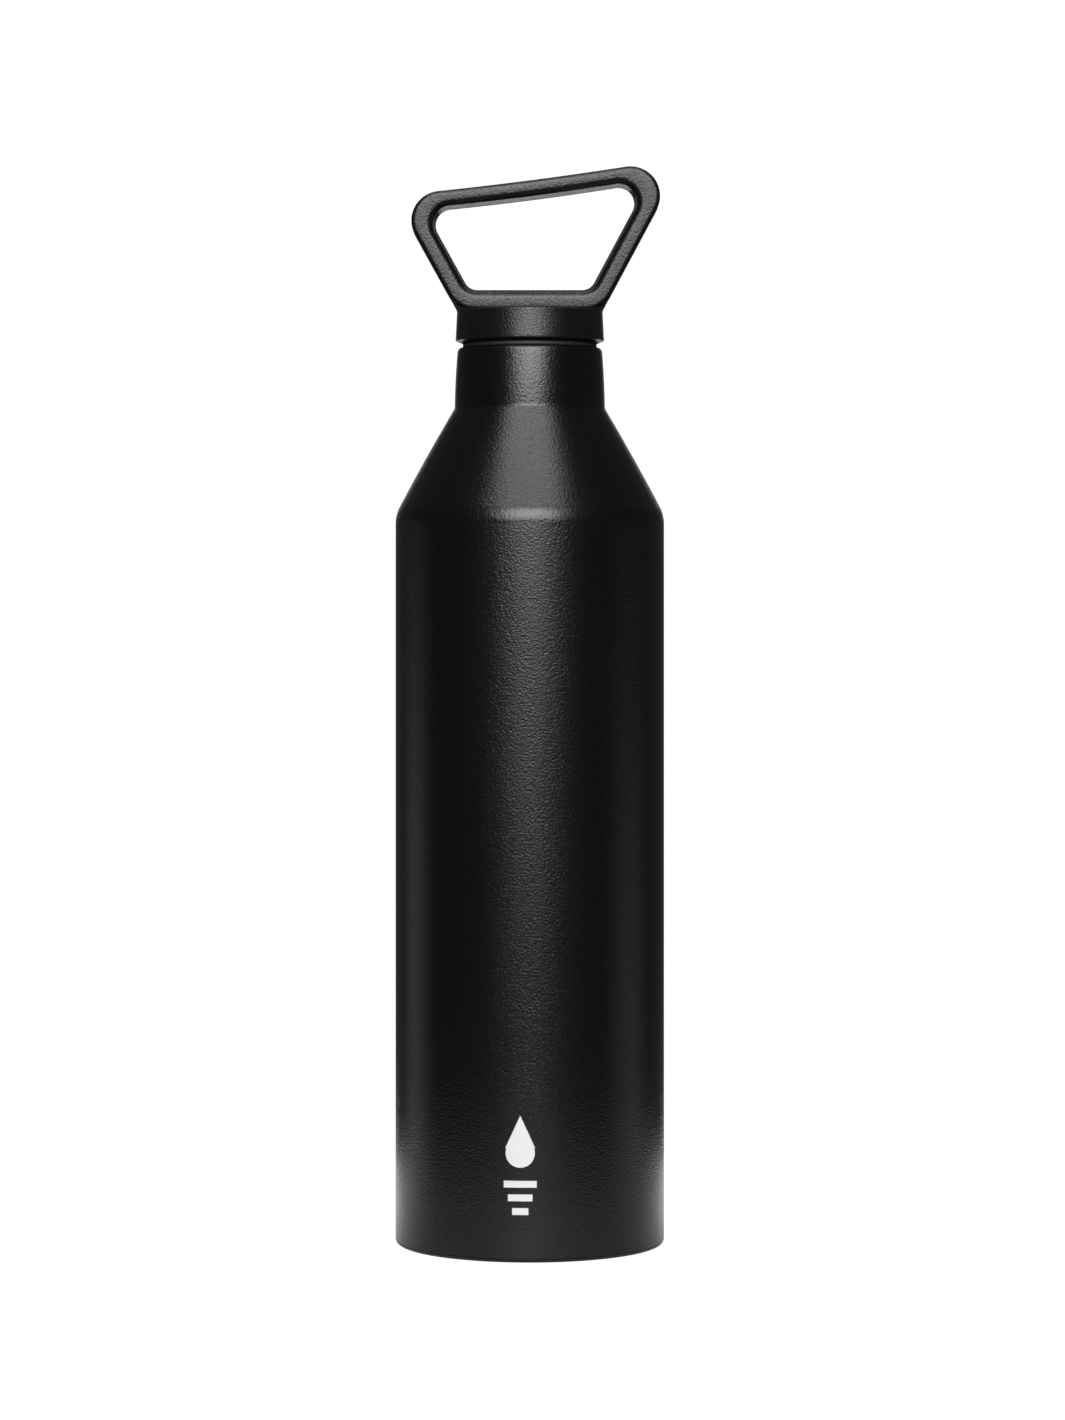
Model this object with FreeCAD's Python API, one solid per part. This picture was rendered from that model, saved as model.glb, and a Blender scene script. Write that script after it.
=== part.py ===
"""Insulated water bottle with a screw cap and a rigid carry loop.

Millimetres. Origin: centre of the base, on the surface the bottle stands on.
+Z runs up the bottle, -Y is the front, +X is right, towards the loop's higher corner.
A double-wall steel flask (outer wall, inner wall, vacuum space between) carries an
internal thread in its mouth; the cap is a moulded shell with its loop, and a
foam-filled threaded plug that draws a silicone gasket down on to the lip.
"""
import FreeCAD, Part
import math
import os
from FreeCAD import Vector

os.makedirs("parts", exist_ok=True)

# ---- outer wall ----
BODY_RADIUS = 36.5
OUTER_WALL = 0.5
SHOULDER_HEIGHT = 198.0      # sharp corner between the body tube and the cone
SHOULDER_FILLET = 9.0
CONE_CROWN = 0.22            # how far the cone bulges out from its straight line
CONE_HEIGHT = 28.9
NECK_FOOT_RADIUS = 20.45     # sharp corner between the cone and the neck
NECK_FOOT_FILLET = 2.0
NECK_HEIGHT = 16.5
NECK_TOP_RADIUS = 19.6
NECK_CROWN = 0.14
LIP_ROUND = 1.35

# ---- base ----
BASE_EDGE = 1.5              # rounding between the body's side and the ground
SEAM_HEIGHT = 0.95           # where the rolled rim of the base pan shows
SEAM_GAP = 0.2
FOOT_WIDTH = 1.3
BASE_RECESS = 2.4            # how far the pan's middle stands off the ground
BASE_WALL = 0.6
PAN_WALL_HEIGHT = 5.0        # upstand of the pan inside the body tube
DIMPLE_RADIUS = 7.0
DIMPLE_DEPTH = 1.4
SEAL_HOLE_RADIUS = 0.9
SEAL_BEAD_RADIUS = 3.4
SEAL_BEAD_HEIGHT = 1.1

# ---- inner wall ----
VACUUM_GAP = 3.2
NECK_GAP = 1.4
INNER_WALL = 0.4
LINER_JOINT_HEIGHT = 22.0    # butt weld between the liner and its base cup
INNER_BASE_GAP = 5.4         # vacuum space between the two bases
INNER_BASE_CORNER = 6.0
GETTER_RADIUS = 4.5
GETTER_THICKNESS = 1.9
GETTER_OFFSET = 17.0
HOLDER_WALL = 0.3
HOLDER_CLEARANCE = 0.1

# ---- thread, two starts ----
THREAD_STARTS = 2
THREAD_PITCH = 4.0
THREAD_LEAD = THREAD_STARTS * THREAD_PITCH
THREAD_HEIGHT = 1.0
THREAD_FOOT = 1.9            # width of a ridge where it leaves the wall
THREAD_CREST = 0.9           # width of a ridge at its tip
THREAD_TURNS = 1.0
THREAD_RUNOUT = 0.12         # share of a ridge over which each end fades out
THREAD_SINK = 0.12           # how far under the wall a ridge's end runs out
THREAD_BITE = 0.3            # how far a ridge's foot is rooted in the wall
THREAD_ROOT_CLEARANCE = 0.35 # tip of one ridge to the wall it faces
THREAD_TOP_DROP = 3.4        # lip down to the top of the mouth's ridges
SECTIONS_PER_TURN = 24

# ---- plug, gasket and foam ----
PLUG_DEPTH = 15.0            # how far the plug reaches below the lip
PLUG_WALL = 1.9
PLUG_FLOOR = 2.0
PLUG_FLANGE_THICKNESS = 2.6
PLUG_FLANGE_CLEARANCE = 0.1
PLUG_EDGE = 0.8
GASKET_THICKNESS = 1.1
GASKET_RADIUS = 18.2
GASKET_BORE_CLEARANCE = 0.15
GASKET_EDGE = 0.3
FOAM_CLEARANCE = 0.1

# ---- cap shell ----
CAP_FOOT_RADIUS = 20.2
CAP_TOP_RADIUS = 19.82
CAP_HEIGHT = 8.9             # from the underside to the root of the loop
CAP_BEVEL_HEIGHT = 0.8
CAP_BEVEL_INNER = 18.45
CAP_CAVITY_RADIUS = 17.5
CAP_CAVITY_STEP = 1.0
CAP_ROOF = 3.0

# ---- carry loop ----
LOOP_THICKNESS = 11.5        # front to back
LOOP_LEFT_ANGLE = 29.0       # of the left side bar, from upright
LOOP_RIGHT_ANGLE = 28.2
LOOP_TOP_ANGLE = 7.4         # the top bar rises to the right
LOOP_TOP_HEIGHT = 35.75      # root line to the top edge, on the bottle's axis
LOOP_OUTER_ROUND = 8.05
LOOP_LOWER_ROUND = 8.0
LOOP_SIDE_BAR = 5.65
LOOP_TOP_BAR = 5.05
LOOP_LOWER_BAR = 5.7
LOOP_INNER_ROUND_TOP = 4.4
LOOP_INNER_ROUND_LOW = 3.7
LOOP_DRAFT = 0.45            # how much the window closes towards the parting plane
LOOP_OUTER_EDGE = 1.25
LOOP_INNER_EDGE = 2.0

# ---- heights worked out from the sizes above ----
NECK_FOOT_HEIGHT = SHOULDER_HEIGHT + CONE_HEIGHT
LIP_HEIGHT = NECK_FOOT_HEIGHT + NECK_HEIGHT
CAP_UNDERSIDE = LIP_HEIGHT + GASKET_THICKNESS
LOOP_ROOT = CAP_UNDERSIDE + CAP_HEIGHT
LINER_RADIUS = BODY_RADIUS - OUTER_WALL - VACUUM_GAP
LINER_NECK_RADIUS = NECK_TOP_RADIUS - OUTER_WALL - NECK_GAP
MOUTH_RADIUS = LINER_NECK_RADIUS - INNER_WALL
MOUTH_CREST_RADIUS = MOUTH_RADIUS - THREAD_HEIGHT
PLUG_RADIUS = MOUTH_CREST_RADIUS - THREAD_ROOT_CLEARANCE
PLUG_BOTTOM = LIP_HEIGHT - PLUG_DEPTH
INNER_BASE_HEIGHT = BASE_RECESS + BASE_WALL + INNER_BASE_GAP
MOUTH_THREAD_BOTTOM = LIP_HEIGHT - THREAD_TOP_DROP - THREAD_LEAD * THREAD_TURNS
PLUG_THREAD_BOTTOM = MOUTH_THREAD_BOTTOM - THREAD_PITCH / 2

AXIS = Vector(0, 0, 1)
CENTRE = Vector(0, 0, 0)


# ---- helpers ----
def at(radius, height):
    """Point of a half section: distance from the axis, and height."""
    return Vector(radius, 0, height)


def line(start, end):
    return Part.LineSegment(start, end).toShape()


def bowed(start, end, crown):
    """Arc from start to end that bulges to the right of its travel by crown."""
    chord = end - start
    side = Vector(chord.z, 0, -chord.x).normalize()
    middle = (start + end) * 0.5 + side * crown
    return Part.Arc(start, middle, end).toShape()


def turned(edges):
    """Solid of revolution about the bottle's axis of a closed half section."""
    face = Part.Face(Part.Wire(edges))
    return face.revolve(CENTRE, AXIS, 360)


def turned_polygon(points):
    closed = points + [points[0]]
    edges = [line(a, b) for a, b in zip(closed, closed[1:])]
    return turned(edges)


def tube(outer, inner, bottom, top):
    outside = Part.makeCylinder(outer, top - bottom, at(0, bottom))
    return outside.cut(Part.makeCylinder(inner, top - bottom, at(0, bottom)))


def ring_edges(solid, radius, height, reach=0.02):
    """Circular edges of a turned solid at this radius and height."""
    found = []
    for edge in solid.Edges:
        curve = edge.Curve
        if not isinstance(curve, Part.Circle):
            continue
        if abs(curve.Radius - radius) < reach and abs(curve.Center.z - height) < reach:
            found.append(edge)
    return found


def rounded(solid, radius, corner):
    """The solid with its circular edge through this half-section point filleted."""
    return solid.makeFillet(radius, ring_edges(solid, corner.x, corner.z))


def crossing(a, b, c, d):
    """Where the line through a and b meets the line through c and d, in a half section."""
    ab = b - a
    cd = d - c
    share = ((c.x - a.x) * cd.z - (c.z - a.z) * cd.x) / (ab.x * cd.z - ab.z * cd.x)
    return a + ab * share


def pushed_in(start, end, distance):
    """The two ends of a half-section line, moved towards the inside of the flask."""
    along = (end - start).normalize()
    inward = Vector(-along.z, 0, along.x) * distance
    return start + inward, end + inward


def save(name, shape):
    solids = shape.Solids
    result = solids[0] if len(solids) == 1 else Part.makeCompound(solids)
    result.exportStep("parts/" + name + ".step")


# ---- flask walls ----
def vessel(side_inset, neck_start, neck_end, neck_crown, bottom, top):
    """Solid form of the flask between two heights: side and cone inset from the outer
    skin, and a neck that follows the line through two half-section points."""
    side = pushed_in(at(BODY_RADIUS, 0), at(BODY_RADIUS, SHOULDER_HEIGHT), side_inset)
    cone = pushed_in(at(BODY_RADIUS, SHOULDER_HEIGHT),
                     at(NECK_FOOT_RADIUS, NECK_FOOT_HEIGHT), side_inset)
    shoulder = crossing(side[0], side[1], cone[0], cone[1])
    neck_foot = crossing(cone[0], cone[1], neck_start, neck_end)
    neck_top = crossing(neck_start, neck_end, at(0, top), at(1, top))
    foot = at(shoulder.x, bottom)
    neck = bowed(neck_foot, neck_top, neck_crown) if neck_crown else line(neck_foot, neck_top)
    form = turned([
        line(at(0, bottom), foot),
        line(foot, shoulder),
        bowed(shoulder, neck_foot, CONE_CROWN),
        neck,
        line(neck_top, at(0, top)),
        line(at(0, top), at(0, bottom)),
    ])
    form = rounded(form, SHOULDER_FILLET - side_inset, shoulder)
    return rounded(form, NECK_FOOT_FILLET + side_inset, neck_foot)


def outer_shell():
    """Body tube, cone and neck; the top edge turns in over the vacuum space as the lip."""
    neck_foot = at(NECK_FOOT_RADIUS, NECK_FOOT_HEIGHT)
    neck_top = at(NECK_TOP_RADIUS, LIP_HEIGHT)
    neck_inside = pushed_in(neck_foot, neck_top, OUTER_WALL)
    skin = vessel(0, neck_foot, neck_top, NECK_CROWN, 0, LIP_HEIGHT)
    skin = rounded(skin, LIP_ROUND, neck_top)
    skin = rounded(skin, BASE_EDGE, at(BODY_RADIUS, 0))
    below_seam = Part.makeCylinder(BODY_RADIUS + 1, SEAM_HEIGHT + SEAM_GAP)
    under_lip = LIP_HEIGHT - OUTER_WALL
    hollow_corner = crossing(*neck_inside, at(0, under_lip), at(1, under_lip))
    hollow = vessel(OUTER_WALL, *neck_inside, NECK_CROWN, 0, under_lip)
    hollow = rounded(hollow, LIP_ROUND - OUTER_WALL, hollow_corner)
    bore = Part.makeCylinder(LINER_NECK_RADIUS, LIP_HEIGHT, at(0, NECK_FOOT_HEIGHT))
    return skin.cut(below_seam).cut(hollow).cut(bore)


def outer_base():
    """Pressed pan: an upstand welded inside the body tube, a rolled rim that shows
    below the tube, the foot ring, a recessed middle and the evacuation dimple."""
    wall_radius = BODY_RADIUS - OUTER_WALL
    rim_drop = BASE_EDGE - SEAM_HEIGHT
    rim_radius = BODY_RADIUS - BASE_EDGE + math.sqrt(BASE_EDGE ** 2 - rim_drop ** 2)
    arc_angle = math.atan2(rim_drop, rim_radius - BODY_RADIUS + BASE_EDGE)
    middle_angle = (arc_angle + math.pi / 2) / 2
    arc_middle = at(BODY_RADIUS - BASE_EDGE + BASE_EDGE * math.cos(middle_angle),
                    BASE_EDGE - BASE_EDGE * math.sin(middle_angle))
    foot_outer = at(BODY_RADIUS - BASE_EDGE, 0)
    foot_inner = foot_outer - at(FOOT_WIDTH, 0)
    recess_edge = at(foot_inner.x - BASE_RECESS, BASE_RECESS)
    dimple_edge = at(DIMPLE_RADIUS + DIMPLE_DEPTH, BASE_RECESS)
    ceiling_edge = at(DIMPLE_RADIUS, BASE_RECESS + DIMPLE_DEPTH)
    hole_below = at(SEAL_HOLE_RADIUS, ceiling_edge.z)
    hole_above = hole_below + at(0, BASE_WALL)
    upper_shift = at(BASE_WALL / 2, BASE_WALL)
    upstand_inner = wall_radius - BASE_WALL
    profile = [
        foot_outer, foot_inner, recess_edge, dimple_edge, ceiling_edge, hole_below, hole_above,
        ceiling_edge + upper_shift, dimple_edge + upper_shift, recess_edge + upper_shift,
        at(upstand_inner - BASE_WALL / 2, BASE_WALL), at(upstand_inner, BASE_EDGE),
        at(upstand_inner, PAN_WALL_HEIGHT), at(wall_radius, PAN_WALL_HEIGHT),
        at(wall_radius, SEAM_HEIGHT), at(rim_radius, SEAM_HEIGHT),
    ]
    edges = [line(a, b) for a, b in zip(profile, profile[1:])]
    rim = Part.Arc(profile[-1], arc_middle, foot_outer).toShape()
    return turned(edges + [rim])


def seal_bead():
    """Solder that fills the evacuation hole and stands proud as a low dome."""
    ceiling = BASE_RECESS + DIMPLE_DEPTH
    dome_radius = (SEAL_BEAD_RADIUS ** 2 + SEAL_BEAD_HEIGHT ** 2) / (2 * SEAL_BEAD_HEIGHT)
    ball = Part.makeSphere(dome_radius, at(0, ceiling - SEAL_BEAD_HEIGHT + dome_radius))
    below = Part.makeCylinder(2 * SEAL_BEAD_RADIUS, 2 * SEAL_BEAD_HEIGHT,
                              at(0, ceiling - 2 * SEAL_BEAD_HEIGHT))
    stem = Part.makeCylinder(SEAL_HOLE_RADIUS, BASE_WALL, at(0, ceiling))
    return ball.common(below).fuse(stem)


def inner_base():
    """Drawn cup that closes the inner wall's lower end."""
    outside = Part.makeCylinder(LINER_RADIUS, LINER_JOINT_HEIGHT - INNER_BASE_HEIGHT,
                                at(0, INNER_BASE_HEIGHT))
    outside = rounded(outside, INNER_BASE_CORNER, at(LINER_RADIUS, INNER_BASE_HEIGHT))
    floor = INNER_BASE_HEIGHT + INNER_WALL
    inside = Part.makeCylinder(LINER_RADIUS - INNER_WALL, LINER_JOINT_HEIGHT - floor, at(0, floor))
    inside = rounded(inside, INNER_BASE_CORNER - INNER_WALL, at(LINER_RADIUS - INNER_WALL, floor))
    return outside.cut(inside)


def getter_holder():
    """Shallow cup hung under the inner base, open towards the base."""
    top = INNER_BASE_HEIGHT
    radius = GETTER_RADIUS + HOLDER_CLEARANCE + HOLDER_WALL
    depth = GETTER_THICKNESS + HOLDER_CLEARANCE + HOLDER_WALL
    place = Vector(GETTER_OFFSET, 0, top - depth)
    cup = Part.makeCylinder(radius, depth, place)
    return cup.cut(Part.makeCylinder(radius - HOLDER_WALL, depth, place + AXIS * HOLDER_WALL))


def getter():
    """Pressed pellet that lies in its holder and takes up stray gas."""
    floor = INNER_BASE_HEIGHT - GETTER_THICKNESS - HOLDER_CLEARANCE
    return Part.makeCylinder(GETTER_RADIUS, GETTER_THICKNESS, Vector(GETTER_OFFSET, 0, floor))


# ---- threads ----
def thread_ridge(wall_radius, tip_radius, start_height, start_angle):
    """One start of the thread: a trapezoid carried up a helix from the wall towards the
    tip radius. Both ends fade into the wall."""
    direction = 1 if tip_radius > wall_radius else -1
    root_radius = wall_radius - direction * THREAD_BITE
    count = int(SECTIONS_PER_TURN * THREAD_TURNS)
    sections = []
    for step in range(count + 1):
        share = step / count
        angle = start_angle + 2 * math.pi * THREAD_TURNS * share
        height = start_height + THREAD_LEAD * THREAD_TURNS * share
        fade = min(1, share / THREAD_RUNOUT, (1 - share) / THREAD_RUNOUT)
        swell = fade * fade * (3 - 2 * fade)
        tip = wall_radius + direction * (THREAD_HEIGHT * swell - THREAD_SINK * (1 - swell))
        corners = []
        for radius, z in ((root_radius, -THREAD_FOOT / 2), (tip, -THREAD_CREST / 2),
                          (tip, THREAD_CREST / 2), (root_radius, THREAD_FOOT / 2)):
            corners.append(Vector(radius * math.cos(angle), radius * math.sin(angle), height + z))
        sections.append(Part.makePolygon(corners + [corners[0]]))
    return Part.makeLoft(sections, True, False)


def thread(wall_radius, tip_radius, start_height):
    ridges = []
    for start in range(THREAD_STARTS):
        turn = 2 * math.pi * start / THREAD_STARTS
        ridges.append(thread_ridge(wall_radius, tip_radius, start_height, turn))
    return ridges


def inner_liner():
    """Inner wall: tube, cone and mouth, with the thread's ridges standing inwards."""
    side_inset = OUTER_WALL + VACUUM_GAP
    outside = vessel(side_inset, at(LINER_NECK_RADIUS, 0), at(LINER_NECK_RADIUS, LIP_HEIGHT),
                     0, LINER_JOINT_HEIGHT, LIP_HEIGHT)
    inside = vessel(side_inset + INNER_WALL, at(MOUTH_RADIUS, 0), at(MOUTH_RADIUS, LIP_HEIGHT),
                    0, LINER_JOINT_HEIGHT, LIP_HEIGHT)
    ridges = thread(MOUTH_RADIUS, MOUTH_CREST_RADIUS, MOUTH_THREAD_BOTTOM)
    return outside.cut(inside).fuse(ridges).removeSplitter()


# ---- cap ----
def cap_plug():
    """Cup with the thread outside it, a flange on top and room for the foam inside."""
    flange_radius = CAP_CAVITY_RADIUS - PLUG_FLANGE_CLEARANCE
    flange_top = CAP_UNDERSIDE + PLUG_FLANGE_THICKNESS
    body = Part.makeCylinder(PLUG_RADIUS, flange_top - PLUG_BOTTOM, at(0, PLUG_BOTTOM))
    body = rounded(body, PLUG_EDGE, at(PLUG_RADIUS, PLUG_BOTTOM))
    flange = Part.makeCylinder(flange_radius, PLUG_FLANGE_THICKNESS, at(0, CAP_UNDERSIDE))
    bore = Part.makeCylinder(PLUG_RADIUS - PLUG_WALL, PLUG_DEPTH * 2, at(0, PLUG_BOTTOM + PLUG_FLOOR))
    ridges = thread(PLUG_RADIUS, PLUG_RADIUS + THREAD_HEIGHT, PLUG_THREAD_BOTTOM)
    return body.fuse([flange] + ridges).cut(bore).removeSplitter()


def plug_foam():
    """Foam puck that fills the plug up to the cap's roof."""
    radius = PLUG_RADIUS - PLUG_WALL - FOAM_CLEARANCE
    bottom = PLUG_BOTTOM + PLUG_FLOOR
    top = LOOP_ROOT - CAP_ROOF
    return Part.makeCylinder(radius, top - bottom, at(0, bottom))


def mouth_gasket():
    """Silicone ring clamped between the plug's flange and the lip."""
    bore = PLUG_RADIUS + GASKET_BORE_CLEARANCE
    ring = tube(GASKET_RADIUS, bore, LIP_HEIGHT, CAP_UNDERSIDE)
    ring = rounded(ring, GASKET_EDGE, at(GASKET_RADIUS, LIP_HEIGHT))
    return rounded(ring, GASKET_EDGE, at(GASKET_RADIUS, CAP_UNDERSIDE))


def outline(corners, rounds):
    """Closed wire in the XZ plane through the corners, each rounded by its own radius."""
    starts = []
    arcs = []
    for index, corner in enumerate(corners):
        before = (corners[index - 1] - corner).normalize()
        after = (corners[(index + 1) % len(corners)] - corner).normalize()
        half = before.getAngle(after) / 2
        reach = rounds[index] / math.tan(half)
        to_centre = (before + after).normalize() * (rounds[index] / math.sin(half))
        middle = corner + to_centre * (1 - math.sin(half))
        starts.append(corner + before * reach)
        arcs.append((corner + before * reach, middle, corner + after * reach))
    edges = []
    for index, arc in enumerate(arcs):
        edges.append(Part.Arc(*arc).toShape())
        edges.append(line(arc[2], starts[(index + 1) % len(starts)]))
    return Part.Wire(edges)


def loop_corners(inset_side, inset_top, inset_low, inset_all=0):
    """Corners of the loop's trapezoid, moved in from its outer edges: lower left,
    lower right, upper right, upper left."""
    rise = math.radians(LOOP_TOP_ANGLE)
    root = LOOP_ROOT + inset_low + inset_all
    crest = LOOP_ROOT + LOOP_TOP_HEIGHT - (inset_top + inset_all) / math.cos(rise)
    top_middle = at(0, crest)
    top_beside = at(math.cos(rise), crest + math.sin(rise))
    lower = []
    upper = []
    for side, angle in ((-1, LOOP_LEFT_ANGLE), (1, LOOP_RIGHT_ANGLE)):
        lean = math.radians(angle)
        half_width = CAP_TOP_RADIUS - (inset_side + inset_all) / math.cos(lean)
        foot = at(side * half_width, LOOP_ROOT)
        above = foot + at(side * math.sin(lean), math.cos(lean))
        lower.append(crossing(foot, above, at(0, root), at(1, root)))
        upper.append(crossing(foot, above, top_middle, top_beside))
    return [lower[0], lower[1], upper[1], upper[0]]


def slab(wire, thickness):
    """The outline made a plate, centred on the XZ plane."""
    plate = Part.Face(wire).extrude(Vector(0, thickness, 0))
    plate.translate(Vector(0, -thickness / 2, 0))
    return plate


def window_half(outer_inset):
    """One half of the drafted window: widest at the loop's face, smallest at y = 0."""
    corners_face = loop_corners(LOOP_SIDE_BAR, LOOP_TOP_BAR, LOOP_LOWER_BAR, -outer_inset)
    corners_middle = loop_corners(LOOP_SIDE_BAR, LOOP_TOP_BAR, LOOP_LOWER_BAR)
    low = LOOP_INNER_ROUND_LOW
    high = LOOP_INNER_ROUND_TOP
    rounds = [low, low, high, high]
    wire_middle = outline(corners_middle, rounds)
    wire_face = outline(corners_face, [size + outer_inset for size in rounds])
    wire_face.translate(Vector(0, -LOOP_THICKNESS / 2, 0))
    return Part.makeLoft([wire_face, wire_middle], True, True)


def loop_outline(inset=0):
    rounds = [LOOP_LOWER_ROUND, LOOP_LOWER_ROUND, LOOP_OUTER_ROUND, LOOP_OUTER_ROUND]
    return outline(loop_corners(0, 0, 0, inset), [size - inset for size in rounds])


def carry_loop():
    """Flat rigid loop: rounded trapezoid plate with a drafted window, edges rounded."""
    front = window_half(LOOP_DRAFT)
    back = front.mirror(CENTRE, Vector(0, 1, 0))
    plate = slab(loop_outline(), LOOP_THICKNESS)
    plate = plate.makeFillet(LOOP_OUTER_EDGE, face_edges(plate))
    plate = plate.cut(front).cut(back)
    window = front.BoundBox
    inner_edges = []
    for edge in face_edges(plate):
        if edge.BoundBox.XMax < window.XMax + 0.01 and edge.BoundBox.XMin > window.XMin - 0.01:
            if edge.BoundBox.ZMax < window.ZMax + 0.01 and edge.BoundBox.ZMin > window.ZMin - 0.01:
                inner_edges.append(edge)
    return plate.makeFillet(LOOP_INNER_EDGE, inner_edges)


def face_edges(plate):
    """Edges that lie in the plate's front or back face."""
    half = LOOP_THICKNESS / 2
    found = []
    for edge in plate.Edges:
        box = edge.BoundBox
        if box.YLength < 1e-3 and abs(abs(box.YMax) - half) < 1e-3:
            found.append(edge)
    return found


def cap_shell():
    """Cap and loop in one moulding. The cap's side flares up into the loop's side bars;
    in front of the loop and behind it the cap is cut away along the loop's lower edge."""
    lean = math.radians((LOOP_LEFT_ANGLE + LOOP_RIGHT_ANGLE) / 2)
    half_corner = (math.pi / 2 + lean) / 2
    flare_length = LOOP_LOWER_ROUND / math.tan(half_corner)
    flare_top = LOOP_ROOT + flare_length * math.cos(lean)
    flare_radius = CAP_TOP_RADIUS + flare_length * math.sin(lean)
    foot_height = CAP_UNDERSIDE + CAP_BEVEL_HEIGHT
    cavity_top = LOOP_ROOT - CAP_ROOF
    step_height = CAP_UNDERSIDE + PLUG_FLANGE_THICKNESS
    step_radius = CAP_CAVITY_RADIUS - CAP_CAVITY_STEP
    base = turned_polygon([
        at(0, cavity_top),
        at(step_radius, cavity_top),
        at(step_radius, step_height),
        at(CAP_CAVITY_RADIUS, step_height),
        at(CAP_CAVITY_RADIUS, CAP_UNDERSIDE),
        at(CAP_BEVEL_INNER, CAP_UNDERSIDE),
        at(CAP_FOOT_RADIUS, foot_height),
        at(CAP_TOP_RADIUS, LOOP_ROOT),
        at(flare_radius, flare_top),
        at(0, flare_top),
    ])
    loop_space = slab(loop_outline(), 4 * BODY_RADIUS)
    keep = Part.makeBox(4 * BODY_RADIUS, LOOP_THICKNESS, 4 * BODY_RADIUS,
                        Vector(-2 * BODY_RADIUS, -LOOP_THICKNESS / 2, CAP_UNDERSIDE))
    base = base.cut(loop_space.cut(keep))
    return base.fuse(carry_loop()).removeSplitter()


save("outer_shell", outer_shell())
save("outer_base", outer_base())
save("seal_bead", seal_bead())
save("inner_liner", inner_liner())
save("inner_base", inner_base())
save("getter_holder", getter_holder())
save("getter", getter())
save("cap_plug", cap_plug())
save("plug_foam", plug_foam())
save("mouth_gasket", mouth_gasket())
save("cap_shell", cap_shell())
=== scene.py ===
"""Looks of the insulated water bottle: powder-coated steel flask and moulded screw cap.

Metres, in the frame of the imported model: +Z up the bottle, -Y the front, +X the side
of the carry loop's higher corner. Every surface is worked out as whole arrays.
"""
import math

import bpy
import numpy as np
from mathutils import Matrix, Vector


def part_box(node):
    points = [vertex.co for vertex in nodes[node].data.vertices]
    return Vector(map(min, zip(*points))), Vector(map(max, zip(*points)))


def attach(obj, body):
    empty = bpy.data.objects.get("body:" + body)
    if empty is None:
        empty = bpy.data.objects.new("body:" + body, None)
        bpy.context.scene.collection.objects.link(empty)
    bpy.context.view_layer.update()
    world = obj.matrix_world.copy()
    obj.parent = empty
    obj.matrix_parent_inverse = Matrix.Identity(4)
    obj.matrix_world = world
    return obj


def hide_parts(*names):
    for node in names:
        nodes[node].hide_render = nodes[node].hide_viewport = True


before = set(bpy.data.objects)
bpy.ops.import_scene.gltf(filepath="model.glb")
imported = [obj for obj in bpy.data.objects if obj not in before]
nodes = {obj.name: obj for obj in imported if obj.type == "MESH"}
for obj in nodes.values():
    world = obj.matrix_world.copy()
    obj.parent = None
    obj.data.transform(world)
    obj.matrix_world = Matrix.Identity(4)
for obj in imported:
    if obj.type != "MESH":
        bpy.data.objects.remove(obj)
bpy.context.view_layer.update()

MM = 0.001
TAU = 2 * math.pi

# ---- places read from the frame ----
FOOT, CROWN = (np.array(corner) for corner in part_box("outer_shell"))
BODY_RADIUS = CROWN[0]
LIP_HEIGHT = CROWN[2]
SEAM_TOP = FOOT[2]
GASKET_LOW, GASKET_HIGH = (np.array(corner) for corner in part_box("mouth_gasket"))
CAP_LOW, CAP_HIGH = (np.array(corner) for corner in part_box("cap_shell"))
PLUG_LOW, PLUG_HIGH = (np.array(corner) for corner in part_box("cap_plug"))
LINER_LOW, LINER_HIGH = (np.array(corner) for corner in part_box("inner_liner"))

# ---- flask ----
OUTER_WALL = 0.5 * MM
SHOULDER = np.array([BODY_RADIUS, LIP_HEIGHT - 45.4 * MM])
NECK_FOOT = np.array([20.45 * MM, LIP_HEIGHT - 16.5 * MM])
NECK_TOP = np.array([19.6 * MM, LIP_HEIGHT])
CONE_CROWN = 0.22 * MM
NECK_CROWN = 0.14 * MM
SHOULDER_FILLET = 9.0 * MM
NECK_FOOT_FILLET = 2.0 * MM
LIP_ROUND = 1.35 * MM
BASE_EDGE = 1.5 * MM
LINER_INSET = BODY_RADIUS - LINER_HIGH[0]
LINER_NECK = 17.7 * MM
INNER_WALL = 0.4 * MM
MOUTH_RADIUS = LINER_NECK - INNER_WALL

# ---- base pan ----
SEAM_HEIGHT = 0.95 * MM
FOOT_WIDTH = 1.3 * MM
BASE_RECESS = 2.4 * MM
BASE_WALL = 0.6 * MM
PAN_WALL_TOP = 5.0 * MM
DIMPLE_RADIUS = 7.0 * MM
DIMPLE_DEPTH = 1.4 * MM
SEAL_HOLE = 0.9 * MM

# ---- thread ----
THREAD_STARTS = 2
THREAD_PITCH = 4.0 * MM
THREAD_LEAD = THREAD_STARTS * THREAD_PITCH
THREAD_HEIGHT = 1.0 * MM
THREAD_FOOT = 1.9 * MM
THREAD_CREST = 0.9 * MM
THREAD_RUNOUT = 0.12
THREAD_TOP_DROP = 3.4 * MM
MOUTH_THREAD_BOTTOM = LIP_HEIGHT - THREAD_TOP_DROP - THREAD_LEAD
PLUG_THREAD_BOTTOM = MOUTH_THREAD_BOTTOM - THREAD_PITCH / 2
PLUG_RADIUS = MOUTH_RADIUS - THREAD_HEIGHT - 0.35 * MM
PLUG_WALL = 1.9 * MM
PLUG_FLOOR = 2.0 * MM
PLUG_FLANGE = 2.6 * MM
PLUG_EDGE = 0.8 * MM

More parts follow.
